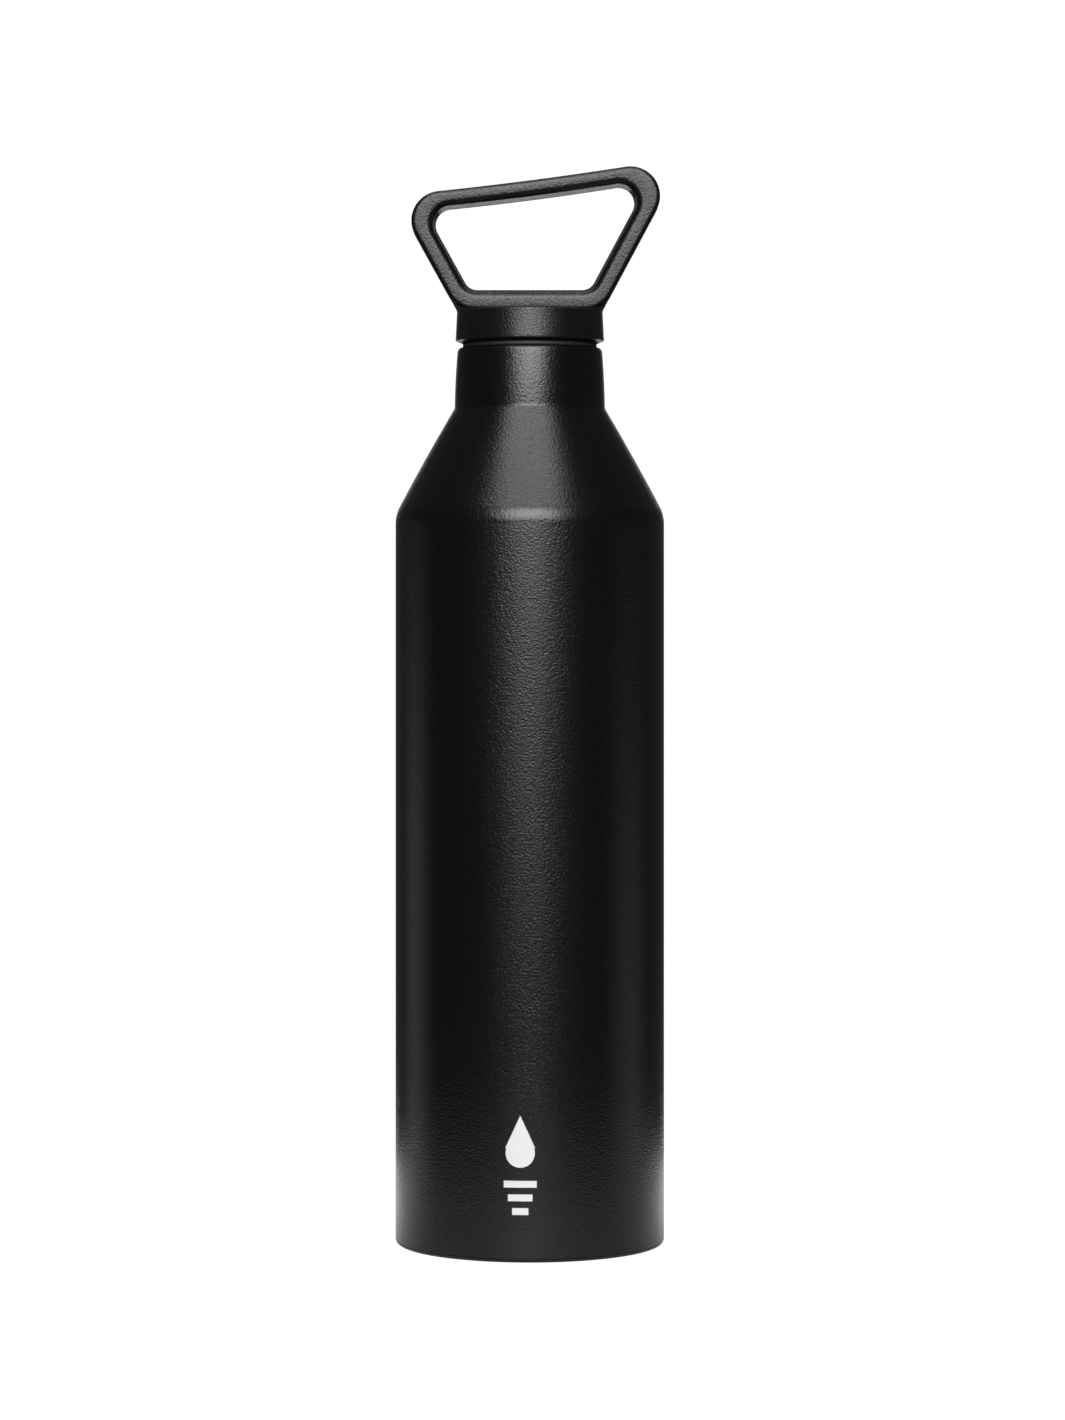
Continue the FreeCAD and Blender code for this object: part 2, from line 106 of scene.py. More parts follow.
# ---- cap ----
CAP_FOOT_RADIUS = CAP_HIGH[1]
CAP_TOP_RADIUS = 19.82 * MM
CAP_BEVEL_HEIGHT = 0.8 * MM
CAP_BEVEL_INNER = 18.45 * MM
CAP_CAVITY_RADIUS = 17.5 * MM
CAP_CAVITY_STEP = 1.0 * MM
CAP_ROOF = 3.0 * MM
CAP_EDGE = 0.45 * MM
LOOP_ROOT = CAP_LOW[2] + 8.9 * MM
LOOP_THICKNESS = 11.5 * MM
LOOP_LEFT_ANGLE = math.radians(29.0)
LOOP_RIGHT_ANGLE = math.radians(28.2)
LOOP_TOP_ANGLE = math.radians(7.4)
LOOP_TOP_HEIGHT = 35.55 * MM
LOOP_TOP_SAG = 0.33 * MM
LOOP_ROUNDS = (8.0 * MM, 8.0 * MM, 8.05 * MM, 8.05 * MM)
WINDOW_ROUNDS = (3.7 * MM, 3.7 * MM, 4.4 * MM, 4.4 * MM)
LOOP_SIDE_BAR = 5.65 * MM
LOOP_TOP_BAR = 5.05 * MM
LOOP_LOWER_BAR = 5.7 * MM
LOOP_DRAFT = 0.65 * MM
LOOP_OUTER_EDGE = 1.25 * MM
LOOP_INNER_EDGE = 1.85 * MM
PARTING_FIN = 0.05 * MM

TURNED_SIDES = 256

# ---- generic mark: a drop over three bars, in mm from its centre ----
MARK_CENTRE = (-2.5 * MM, 23.9 * MM)
DROP_HEIGHT = 5.2            # middle of the drop's round part
DROP_RADIUS = 3.9
DROP_TIP = 10.0              # tip over the middle of the round part
DROP_TAPER = 0.46
DROP_NECK = 1.2              # where the taper leaves the round part
MARK_BARS = ((-3.0, 4.4), (-6.6, 3.3), (-10.2, 2.2))    # height and half length
BAR_HALF_WIDTH = 0.95
MARK_SHARPNESS = 12.0

# ---- finishes ----
GRAIN = 1650.0               # powder-coat grains in a metre
PLASTIC_GRAIN = 2000.0

# ---- stage ----
SURROUND_LEVEL = 1.05        # what the lens sees round the bottle
ROOM_LEVEL = 0.055           # what the bottle reflects of the room
LIGHT_DISTANCE = 1.9
LIGHT_TARGET = 0.18
TABLE_RADIUS = 0.19
TABLE_GLOW = 0.6
TABLE_SIDES = 128
CAMERA_PLACE = (0.00073, -1.168, 0.1788)
CAMERA_LENS = 108.81
CAMERA_SHIFT = -0.0878


# ================= meshes =================
def add_piece(name, points, faces, body, replaced=(), smooth_angle=40):
    """Mesh from whole arrays of points and faces, smooth but for edges over an angle."""
    mesh = bpy.data.meshes.new(name)
    mesh.from_pydata(points.tolist(), [], faces)
    mesh.validate()
    mesh.shade_smooth()
    mesh.set_sharp_from_angle(angle=math.radians(smooth_angle))
    piece = bpy.data.objects.new(name, mesh)
    bpy.context.scene.collection.objects.link(piece)
    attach(piece, body)
    if replaced:
        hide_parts(*replaced)
    return piece


def grid_faces(rows, columns, close_rows, first=0):
    """Quads of a grid of points that closes round its columns and, if asked, its rows."""
    across = np.arange(columns)
    down = np.arange(rows if close_rows else rows - 1)
    row, column = np.meshgrid(down, across, indexing="ij")
    next_row = (row + 1) % rows
    next_column = (column + 1) % columns
    quads = np.stack([row * columns + column, row * columns + next_column,
                      next_row * columns + next_column, next_row * columns + column], axis=-1)
    return (quads.reshape(-1, 4) + first).tolist()


def fan(ring_start, columns, pole, upwards):
    """Triangles from a ring of points to one pole."""
    here = np.arange(columns)
    there = (here + 1) % columns
    order = (here, there) if upwards else (there, here)
    rim = [side + ring_start for side in order]
    return np.stack([rim[0], rim[1], np.full(columns, pole)], axis=1).tolist()


def around(sides, offset=0):
    """Angles of the sides of a full turn, in radians, moved on by a share of one side."""
    return (np.arange(sides) + offset) / sides * TAU


def turned_points(radius, height, angle):
    """Radius and height swept round the axis: x = r cos a, y = r sin a, z = h."""
    x = radius * np.cos(angle)
    return np.stack([x, radius * np.sin(angle), np.broadcast_to(height, x.shape)], axis=-1)


def turned_piece(name, section, body, replaced=(), smooth_angle=40):
    """Closed surface of revolution of a closed half section that goes anticlockwise
    as seen with the radius to the right and the height up."""
    points = turned_points(section[:, :1], section[:, 1:], around(TURNED_SIDES))
    faces = grid_faces(len(section), TURNED_SIDES, close_rows=True)
    return add_piece(name, points.reshape(-1, 3), faces, body, replaced, smooth_angle)


# ================= half sections =================
def arc(centre, radius, start, end, count=12):
    """Points on a circle from one angle to another, in radians from the +radius axis."""
    angle = np.linspace(start, end, count)
    return centre + radius * np.stack([np.cos(angle), np.sin(angle)], axis=1)


def heading(start, end):
    """Angle of the direction from one point to another, from the +radius axis."""
    return math.atan2(end[1] - start[1], end[0] - start[0])


def crowned(start, end, crown):
    """Centre and radius of the circle through two points that bulges out by crown."""
    chord = end - start
    length = np.linalg.norm(chord)
    radius = (length ** 2 / 4 + crown ** 2) / (2 * crown)
    outward = np.array([chord[1], -chord[0]]) / length
    return (start + end) / 2 + outward * (crown - radius), radius


def meeting(centre_a, radius_a, centre_b, radius_b, near):
    """Where two circles cross, at the crossing nearer to a point."""
    apart = centre_b - centre_a
    distance = np.linalg.norm(apart)
    along = (distance ** 2 + radius_a ** 2 - radius_b ** 2) / (2 * distance)
    aside = math.sqrt(radius_a ** 2 - along ** 2)
    unit = apart / distance
    side = np.array([-unit[1], unit[0]])
    choices = [centre_a + unit * along + side * aside, centre_a + unit * along - side * aside]
    return min(choices, key=lambda point: np.linalg.norm(point - near))


CONE_CENTRE, CONE_RADIUS = crowned(SHOULDER, NECK_FOOT, CONE_CROWN)
NECK_CENTRE, NECK_RADIUS = crowned(NECK_FOOT, NECK_TOP, NECK_CROWN)
SHOULDER_CENTRE = np.array([
    BODY_RADIUS - SHOULDER_FILLET,
    CONE_CENTRE[1] + math.sqrt((CONE_RADIUS - SHOULDER_FILLET) ** 2
                               - (BODY_RADIUS - SHOULDER_FILLET - CONE_CENTRE[0]) ** 2)])


def flask_side(inset, first_height):
    """Half section from a height on the body up to the cone, a parallel curve at a
    distance inside the outer skin: tube, shoulder fillet, and the angle the cone starts at."""
    cone_start = heading(CONE_CENTRE, SHOULDER_CENTRE)
    straight = np.linspace(first_height, SHOULDER_CENTRE[1], 60)[:-1]
    tube = np.stack([np.full(len(straight), BODY_RADIUS - inset), straight], axis=1)
    shoulder = arc(SHOULDER_CENTRE, SHOULDER_FILLET - inset, 0, cone_start, 20)
    return tube, shoulder, cone_start


def outer_side():
    """Outer skin from the seam at the base to the lip's crest."""
    foot_centre = np.array([BODY_RADIUS - BASE_EDGE, BASE_EDGE])
    seam_angle = math.asin((SEAM_TOP - BASE_EDGE) / BASE_EDGE)
    base = arc(foot_centre, BASE_EDGE, seam_angle, 0, 6)
    tube, shoulder, cone_start = flask_side(0, BASE_EDGE + 0.5 * MM)
    foot_round = meeting(CONE_CENTRE, CONE_RADIUS + NECK_FOOT_FILLET,
                         NECK_CENTRE, NECK_RADIUS + NECK_FOOT_FILLET, NECK_FOOT)
    cone_end = heading(CONE_CENTRE, foot_round)
    cone = arc(CONE_CENTRE, CONE_RADIUS, cone_start, cone_end, 40)[1:]
    neck_start = heading(NECK_CENTRE, foot_round)
    neck_foot = arc(foot_round, NECK_FOOT_FILLET, cone_end - math.pi, neck_start - math.pi, 10)[1:]
    lip_height = LIP_HEIGHT - LIP_ROUND
    lip_centre = np.array([
        NECK_CENTRE[0] + math.sqrt((NECK_RADIUS - LIP_ROUND) ** 2
                                   - (lip_height - NECK_CENTRE[1]) ** 2),
        lip_height])
    neck_end = heading(NECK_CENTRE, lip_centre)
    neck = arc(NECK_CENTRE, NECK_RADIUS, neck_start, neck_end, 24)[1:]
    lip = arc(lip_centre, LIP_ROUND, neck_end, math.pi / 2, 14)[1:]
    return np.concatenate([base, tube, shoulder, cone, neck_foot, neck, lip])


def parallel(section, distance):
    """The section moved sideways by a distance, along the normal of each of its points."""
    along = np.gradient(section, axis=0)
    along /= np.linalg.norm(along, axis=1)[:, None]
    return section + distance * np.stack([-along[:, 1], along[:, 0]], axis=1)


def bottle_body():
    """Steel outer wall: its skin, the lip turned in over the vacuum space, and its inside."""
    skin = outer_side()
    inside = parallel(skin, OUTER_WALL)[::-1]
    lip_edge = np.array([[LINER_NECK, LIP_HEIGHT], [LINER_NECK, LIP_HEIGHT - OUTER_WALL]])
    section = np.concatenate([skin, lip_edge, inside])
    return turned_piece("bottle_body", section, "flask", ["outer_shell"])


def base_pan():
    """Pressed pan: rolled rim, foot ring, recess, dimple and its upstand in the body."""
    rim_centre = np.array([BODY_RADIUS - BASE_EDGE, BASE_EDGE])
    rim_angle = math.asin((SEAM_HEIGHT - BASE_EDGE) / BASE_EDGE)
    rim = arc(rim_centre, BASE_EDGE, rim_angle, -math.pi / 2, 10)
    wall_radius = BODY_RADIUS - OUTER_WALL
    inner_radius = wall_radius - BASE_WALL
    foot_inner = rim_centre[0] - FOOT_WIDTH
    recess_edge = foot_inner - BASE_RECESS
    ceiling = BASE_RECESS + DIMPLE_DEPTH
    dimple_edge = DIMPLE_RADIUS + DIMPLE_DEPTH
    lower = filleted(
        [(foot_inner, 0), (recess_edge, BASE_RECESS), (dimple_edge, BASE_RECESS),
         (DIMPLE_RADIUS, ceiling)], [0.6 * MM, 0.9 * MM, 0.9 * MM, 0.6 * MM],
        (rim_centre[0], 0), (SEAL_HOLE, ceiling))
    upper = filleted(
        [(DIMPLE_RADIUS + BASE_WALL / 2, ceiling + BASE_WALL),
         (dimple_edge + BASE_WALL / 2, BASE_RECESS + BASE_WALL),
         (recess_edge + BASE_WALL / 2, BASE_RECESS + BASE_WALL),
         (inner_radius - BASE_WALL / 2, BASE_WALL)], [0.6 * MM] * 4,
        (SEAL_HOLE, ceiling + BASE_WALL), (inner_radius, BASE_EDGE))
    upstand = np.array([[inner_radius, PAN_WALL_TOP], [wall_radius, PAN_WALL_TOP],
                        [wall_radius, SEAM_HEIGHT]])
    section = np.concatenate([rim, lower[1:], upper, upstand])[::-1]
    return turned_piece("base_pan", section, "flask", ["outer_base"],
                        smooth_angle=50)


def filleted(corners, rounds, start, end, count=8):
    """Open outline through corners, each rounded by an arc of its own radius."""
    stops = [np.array(start)] + [np.array(corner) for corner in corners] + [np.array(end)]
    runs = [stops[0][None]]
    for index, radius in enumerate(rounds):
        centre, first, last = corner_arc(stops[index], stops[index + 1], stops[index + 2], radius)
        runs.append(arc(centre, radius, first, last, count))
    runs.append(stops[-1][None])
    return np.concatenate(runs)


def corner_arc(before, corner, after, radius):
    """Centre and the two angles of the arc that rounds a corner."""
    back = (before - corner) / np.linalg.norm(before - corner)
    ahead = (after - corner) / np.linalg.norm(after - corner)
    half = math.acos(np.clip(back @ ahead, -1, 1)) / 2
    bisector = (back + ahead) / np.linalg.norm(back + ahead)
    centre = corner + bisector * radius / math.sin(half)
    first = heading(centre, corner + back * radius / math.tan(half))
    last = heading(centre, corner + ahead * radius / math.tan(half))
    turn = (last - first + math.pi) % TAU - math.pi
    return centre, first, first + turn


# ================= thread =================
def ridge_height(height, angle, bottom):
    """Height of the thread's ridges over the wall at every height and angle: a rounded
    trapezoid across each helix, fading out smoothly at both ends of each start."""
    ridge = np.zeros(np.broadcast(height, angle).shape)
    slope = (THREAD_FOOT - THREAD_CREST) / 2
    for start in range(THREAD_STARTS):
        for lap in (-1, 0, 1):
            share = angle / TAU - start / THREAD_STARTS + lap
            across = np.abs(height - bottom - THREAD_LEAD * share)
            profile = np.clip((THREAD_FOOT / 2 - across) / slope, 0, 1)
            fade = np.clip(np.minimum(share, 1 - share) / THREAD_RUNOUT, 0, 1)
            swell = fade * fade * (3 - 2 * fade)
            rounded = profile * profile * (3 - 2 * profile) * 0.35 + profile * 0.65
            ridge = np.maximum(ridge, THREAD_HEIGHT * rounded * swell)
    return ridge


def threaded_piece(name, section, wall_radius, direction, bottom, body, replaced):
    """Turned piece whose wall at wall_radius carries the ridges, outwards or inwards."""
    angle = around(TURNED_SIDES)
    radius = section[:, :1]
    height = section[:, 1:]
    ridge = direction * ridge_height(height, angle, bottom)
    radius = radius + np.where(np.abs(radius - wall_radius) < 1e-7, ridge, 0)
    points = turned_points(radius, height, angle)
    faces = grid_faces(len(section), TURNED_SIDES, close_rows=True)
    return add_piece(name, points.reshape(-1, 3), faces, body, replaced, 60)


def inner_vessel():
    """Inner steel wall with the mouth and its thread."""
    outside = liner_side(LINER_INSET, LINER_NECK, 20)
    inside = liner_side(LINER_INSET + INNER_WALL, MOUTH_RADIUS, 110)[::-1]
    lip_round = arc(np.array([MOUTH_RADIUS + 0.15 * MM, LIP_HEIGHT - 0.15 * MM]), 0.15 * MM,
                    math.pi / 2, math.pi, 4)
    section = np.concatenate([outside, lip_round, inside[1:]])
    return threaded_piece("inner_vessel", section, MOUTH_RADIUS, -1, MOUTH_THREAD_BOTTOM,
                          "flask", ["inner_liner"])


def liner_side(inset, neck_radius, neck_rows):
    """Half section of the inner wall's outside or inside, with a straight neck."""
    tube, shoulder, cone_start = flask_side(inset, LINER_LOW[2])
    fillet = NECK_FOOT_FILLET + inset
    reach = CONE_RADIUS - inset + fillet
    foot_round = np.array([
        neck_radius + fillet,
        CONE_CENTRE[1] + math.sqrt(reach ** 2 - (neck_radius + fillet - CONE_CENTRE[0]) ** 2)])
    cone_end = heading(CONE_CENTRE, foot_round)
    cone = arc(CONE_CENTRE, CONE_RADIUS - inset, cone_start, cone_end, 24)[1:]
    neck_foot = arc(foot_round, fillet, cone_end - math.pi, -math.pi, 10)[1:]
    heights = np.linspace(neck_foot[-1][1], LIP_HEIGHT - 0.1 * MM, neck_rows)[1:]
    neck = np.stack([np.full(len(heights), neck_radius), heights], axis=1)
    return np.concatenate([tube, shoulder, cone, neck_foot, neck])


def threaded_plug():
    """Plug: flange, threaded outside, rounded lower edge, and the bore for its foam."""
    bottom = PLUG_LOW[2]
    top = PLUG_HIGH[2]
    flange_radius = PLUG_HIGH[0]
    flange_low = top - PLUG_FLANGE
    bore = PLUG_RADIUS - PLUG_WALL
    edge_centre = np.array([PLUG_RADIUS - PLUG_EDGE, bottom + PLUG_EDGE])
    edge = arc(edge_centre, PLUG_EDGE, -math.pi / 2, 0, 8)
    heights = np.linspace(bottom + PLUG_EDGE, flange_low, 100)[1:]
    wall = np.stack([np.full(len(heights), PLUG_RADIUS), heights], axis=1)
    upper = np.array([[flange_radius - 0.2 * MM, flange_low],
                      [flange_radius, flange_low + 0.2 * MM], [flange_radius, top],
                      [bore, top], [bore, bottom + PLUG_FLOOR],
                      [0.02 * MM, bottom + PLUG_FLOOR], [0.02 * MM, bottom]])
    section = np.concatenate([edge, wall, upper])
    return threaded_piece("threaded_plug", section, PLUG_RADIUS, 1, PLUG_THREAD_BOTTOM,
                          "cap", ["cap_plug"])


def sealing_ring():
    """Silicone ring with rounded outer edges."""
    outer = GASKET_HIGH[0]
    bore = PLUG_RADIUS + 0.15 * MM
    low = GASKET_LOW[2]
    high = GASKET_HIGH[2]
    edge = 0.3 * MM
    under = arc(np.array([outer - edge, low + edge]), edge, -math.pi / 2, 0, 6)
    over = arc(np.array([outer - edge, high - edge]), edge, 0, math.pi / 2, 6)
    section = np.concatenate([under, over, [[bore, high], [bore, low]]])
    return turned_piece("sealing_ring", section, "cap_seal", ["mouth_gasket"])


# ================= cap =================
def loop_corners(side_inset, top_inset, low_inset):
    """Corners of the loop's trapezoid in the XZ plane: lower left, lower right,
    upper right, upper left."""
    low = LOOP_ROOT + low_inset
    crest = LOOP_ROOT + LOOP_TOP_HEIGHT - top_inset / math.cos(LOOP_TOP_ANGLE)
    lower = []
    upper = []
    for side, lean in ((-1, LOOP_LEFT_ANGLE), (1, LOOP_RIGHT_ANGLE)):
        half_width = CAP_TOP_RADIUS - side_inset / math.cos(lean)
        rise = (crest - LOOP_ROOT + side * half_width * math.tan(LOOP_TOP_ANGLE)) \
            / (1 - side * math.tan(LOOP_TOP_ANGLE) * math.tan(lean))
        lower.append(np.array([side * (half_width + low_inset * math.tan(lean)), low]))
        upper.append(np.array([side * (half_width + rise * math.tan(lean)), LOOP_ROOT + rise]))
    return [lower[0], lower[1], upper[1], upper[0]]


def rounded_ring(corners, rounds, per_arc, per_side):
    """Closed outline through rounded corners with the same count of points on each
    arc and on each side, and its outward normals."""
    points = []
    normals = []
    count = len(corners)
    arcs = [corner_arc(corners[i - 1], corners[i], corners[(i + 1) % count], rounds[i])
            for i in range(count)]
    for index, (centre, first, last) in enumerate(arcs):
        angle = np.linspace(first, last, per_arc)
        direction = np.stack([np.cos(angle), np.sin(angle)], axis=1)
        points.append(centre + rounds[index] * direction)
        normals.append(direction)
        next_centre, next_first, _ = arcs[(index + 1) % count]
        next_point = next_centre + rounds[(index + 1) % count] * np.array(
            [math.cos(next_first), math.sin(next_first)])
        share = np.linspace(0, 1, per_side + 2)[1:-1, None]
        side = points[-1][-1] * (1 - share) + next_point * share
        if index == 2:
            side = side - [0, LOOP_TOP_SAG] * (4 * share * (1 - share))
        points.append(side)
        normals.append(np.repeat(direction[-1:], per_side, axis=0))
    return np.concatenate(points), np.concatenate(normals)


def loop_section():
    """Half of the bar's section, front side, as rows of (edge, inset, depth): edge is 0
    for a distance in from the loop's outside and 1 for a distance out from its window."""
    face = LOOP_THICKNESS / 2
    quarter = np.linspace(0, math.pi / 2, 9)
    rows = [(0, 0, share * (face - LOOP_OUTER_EDGE)) for share in (0, 0.35, 0.7)]
    for turn in quarter:
        rows.append((0, LOOP_OUTER_EDGE * (1 - math.cos(turn)),
                     face - LOOP_OUTER_EDGE * (1 - math.sin(turn))))
    for turn in quarter[::-1]:
        rows.append((1, LOOP_DRAFT + LOOP_INNER_EDGE * (1 - math.cos(turn)),
                     face - LOOP_INNER_EDGE * (1 - math.sin(turn))))
    for share in (0.6, 0.25, 0.06, 0.03):
        rows.append((1, LOOP_DRAFT * share, share * (face - LOOP_INNER_EDGE)))
    rows.append((1, -PARTING_FIN, 0))
    return np.array(rows)


def carry_loop():
    """Rigid loop: the bar's section carried round the rounded trapezoid. A section row
    is placed in from the outer outline or out from the window's outline."""
    outer, outer_normal = rounded_ring(loop_corners(0, 0, 0), LOOP_ROUNDS, 20, 30)
    inner, inner_normal = rounded_ring(
        loop_corners(LOOP_SIDE_BAR, LOOP_TOP_BAR, LOOP_LOWER_BAR), WINDOW_ROUNDS, 20, 30)
    front = loop_section()
    back = front[-2:0:-1] * [1, 1, -1]
    rows = np.concatenate([front, back])
    edge = rows[:, 0][:, None, None]
    inset = rows[:, 1][:, None, None]
    flat = np.where(edge < 0.5, outer - outer_normal * inset, inner + inner_normal * inset)
    depth = np.repeat(-rows[:, 2][:, None], len(outer), axis=1)
    points = np.stack([flat[..., 0], depth, flat[..., 1]], axis=-1)
    faces = grid_faces(len(rows), len(outer), close_rows=True)
    return add_piece("carry_loop", points.reshape(-1, 3), faces, "cap",
                     ["cap_shell"], 60)


def shelf_height(x):
    """Height of the loop's lower outline over each x: flat, then rising round the
    lower corners."""
    corners = loop_corners(0, 0, 0)
    height = np.full(np.shape(x), LOOP_ROOT)
    for side in (0, 1):
        centre = corner_arc(corners[side - 1], corners[side], corners[side + 1],
                            LOOP_ROUNDS[side])[0]
        sign = 1 if side else -1
        past = np.clip(sign * (x - centre[0]), 0, LOOP_ROUNDS[side] * 0.995)
        rounding = centre[1] - np.sqrt(LOOP_ROUNDS[side] ** 2 - past ** 2)
        height = np.where(sign * (x - centre[0]) > 0, rounding, height)
    return height


def flank_radius(height, cosine):
    """Radius of the cap's side at a height: the straight side up to the loop's root, then
    flaring with the lean of the side bar on that side."""
    lean = np.where(cosine > 0, math.tan(LOOP_RIGHT_ANGLE), math.tan(LOOP_LEFT_ANGLE))
    return CAP_TOP_RADIUS + np.clip(height - LOOP_ROOT, 0, None) * lean


def cap_body():
    """Cap: bevelled underside, side that flares into the loop, and the shelf cut along
    the loop's lower edge. Its upper edge is found round the whole cap at once by
    repeated substitution."""
    sides = TURNED_SIDES
    angle = around(sides, 0.5)
    cosine = np.cos(angle)
    edge_height = np.full(sides, LOOP_ROOT)
    for _ in range(60):
        shelf = shelf_height(flank_radius(edge_height, cosine) * cosine)
        edge_height = 0.5 * edge_height + 0.5 * shelf
    edge_radius = flank_radius(edge_height, cosine)
    low = CAP_LOW[2]
    foot = low + CAP_BEVEL_HEIGHT
    step = low + PLUG_FLANGE
    roof = LOOP_ROOT - CAP_ROOF
    rows_radius = []
    rows_height = []

    def ring(radius, height):
        """One more row of points round the cap."""
        rows_radius.append(np.broadcast_to(radius, sides))
        rows_height.append(np.broadcast_to(height, sides))

    ring(CAP_CAVITY_RADIUS - CAP_CAVITY_STEP, roof)
    ring(CAP_CAVITY_RADIUS - CAP_CAVITY_STEP, step)
    ring(CAP_CAVITY_RADIUS, step)
    ring(CAP_CAVITY_RADIUS, low)
    rim = filleted([(CAP_BEVEL_INNER, low), (CAP_FOOT_RADIUS, foot)], [0.1 * MM, 0.22 * MM],
                   (CAP_CAVITY_RADIUS + 0.2 * MM, low), (CAP_TOP_RADIUS, LOOP_ROOT), 6)
    for radius, height in rim[:-1]:
        ring(radius, height)
    straight = rim[-2]
    for share in np.linspace(0, 1, 9)[1:-1]:
        ring(straight[0] + (CAP_TOP_RADIUS - straight[0]) * share,
             straight[1] + (LOOP_ROOT - CAP_EDGE - straight[1]) * share)
    side_length = np.hypot(edge_height - (LOOP_ROOT - CAP_EDGE), edge_radius - CAP_TOP_RADIUS)
    cut = np.minimum(CAP_EDGE / np.maximum(side_length, CAP_EDGE), 0.9)
    base_height = LOOP_ROOT - CAP_EDGE
    for share in np.linspace(0, 1, 6)[:-1]:
        reach = share * (1 - cut)
        height = base_height + (edge_height - base_height) * reach
        ring(np.where(height > LOOP_ROOT, flank_radius(height, cosine), CAP_TOP_RADIUS), height)
    start = (rows_radius[-1], rows_height[-1])
    inward = edge_radius - CAP_EDGE
    end = (inward, shelf_height(inward * cosine))
    for share in np.linspace(0, 1, 7)[1:]:
        first, middle, last = (1 - share) ** 2, 2 * share * (1 - share), share ** 2
        ring(start[0] * first + middle * edge_radius + end[0] * last,
             start[1] * first + middle * edge_height + end[1] * last)
    for share in np.linspace(0, 1, 26)[1:-1]:
        radius = inward * (1 - share)
        ring(radius, shelf_height(radius * cosine))
    radius = np.array(rows_radius)
    height = np.array(rows_height)
    points = turned_points(radius, height, angle).reshape(-1, 3)
    poles = np.array([[0, 0, roof], [0, 0, LOOP_ROOT]])
    first_pole = len(points)
    points = np.concatenate([points, poles])
    faces = grid_faces(len(rows_radius), sides, close_rows=False)
    faces += fan(0, sides, first_pole, upwards=False)
    faces += fan((len(rows_radius) - 1) * sides, sides, first_pole + 1, upwards=True)
    return add_piece("cap_body", points, faces, "cap", ["cap_shell"], 35)


# ================= finishes =================
class Wire:
    """A socket of a material's node tree. Sums and products of wires add Math nodes."""

    def __init__(self, tree, socket):
        self.tree = tree
        self.socket = socket

    def math(self, operation, *values):
        """A Math node with its operation set first, then its values or wires."""
        node = self.tree.nodes.new("ShaderNodeMath")
        node.operation = operation
        for index, value in enumerate(values):
            connect(self.tree, node.inputs[index], value)
        return Wire(self.tree, node.outputs[0])

    def __add__(self, other):
        return self.math("ADD", self, other)

    def __radd__(self, other):
        return self.math("ADD", other, self)

    def __sub__(self, other):
        return self.math("SUBTRACT", self, other)

    def __rsub__(self, other):
        return self.math("SUBTRACT", other, self)

    def __mul__(self, other):
        return self.math("MULTIPLY", self, other)

    def __rmul__(self, other):
        return self.math("MULTIPLY", other, self)

    def __pow__(self, other):
        return self.math("POWER", self, other)

    def clamped(self):
        """Held between 0 and 1."""
        return self.math("MINIMUM", self.math("MAXIMUM", self, 0.0), 1.0)

    def absolute(self):
        """Its size without its sign."""
        return self.math("ABSOLUTE", self)

    def smaller(self, other):
        """The smaller of this and another value."""
        return self.math("MINIMUM", self, other)

    def larger(self, other):
        """The larger of this and another value."""
        return self.math("MAXIMUM", self, other)


def connect(tree, socket, value):
    """Link a wire to a socket, or set a plain value on it."""
    if isinstance(value, Wire):
        tree.links.new(value.socket, socket)
    else:
        socket.default_value = value


class Finish:
    """A material with one Principled shader, and the ways to feed it."""

    def __init__(self, name, **constants):
        self.material = bpy.data.materials.new(name)
        self.material.use_nodes = True
        self.tree = self.material.node_tree
        self.shader = self.tree.nodes["Principled BSDF"]
        for label, value in constants.items():
            self.feed(label, value)

    def feed(self, label, value):
        """Give the shader's socket of that name a wire or a plain value."""
        connect(self.tree, self.shader.inputs[label.replace("_", " ")], value)

    def node(self, kind, settings=None, output=0, **values):
        """Any node: its settings first, then the values or wires of its named sockets."""
        node = self.tree.nodes.new(kind)
        for name, value in (settings or {}).items():
            setattr(node, name, value)
        for label, value in values.items():
            connect(self.tree, node.inputs[label.replace("_", " ")], value)
        return Wire(self.tree, node.outputs[output])

    def place(self, scale=(1, 1, 1)):
        """Object coordinates in metres, stretched by a scale for each axis."""
        spot = self.node("ShaderNodeTexCoord", output="Object")
        return self.node("ShaderNodeMapping", Vector=spot, Scale=scale)

    def axes(self):
        """The three object coordinates, in metres."""
        spot = self.node("ShaderNodeTexCoord", output="Object")
        split = self.tree.nodes.new("ShaderNodeSeparateXYZ")
        self.tree.links.new(spot.socket, split.inputs[0])
        return [Wire(self.tree, split.outputs[index]) for index in range(3)]

    def noise(self, scale, detail=2.0, roughness=0.5, spot=None):
        """Noise from 0 to 1 with a scale in grains a metre."""
        return self.node("ShaderNodeTexNoise", output="Fac", Vector=spot or self.place(),
                         Scale=scale, Detail=detail, Roughness=roughness)

    def blend(self, factor, first, second):
        """Colour mixed from first to second by a factor."""
        node = self.tree.nodes.new("ShaderNodeMix")
        node.data_type = "RGBA"
        colours = [socket for socket in node.inputs if socket.type == "RGBA"]
        connect(self.tree, node.inputs[0], factor)
        connect(self.tree, colours[0], first)
        connect(self.tree, colours[1], second)
        output = [socket for socket in node.outputs if socket.type == "RGBA"][0]
        return Wire(self.tree, output)

    def bump(self, height, strength, distance):
        """Relief of a height from 0 to 1 that is distance metres deep."""
        self.feed("Normal", self.node("ShaderNodeBump", Height=height, Strength=strength,
                                      Distance=distance))


def grey(level):
    """Opaque colour with the same level in red, green and blue."""
    return (level, level, level, 1)


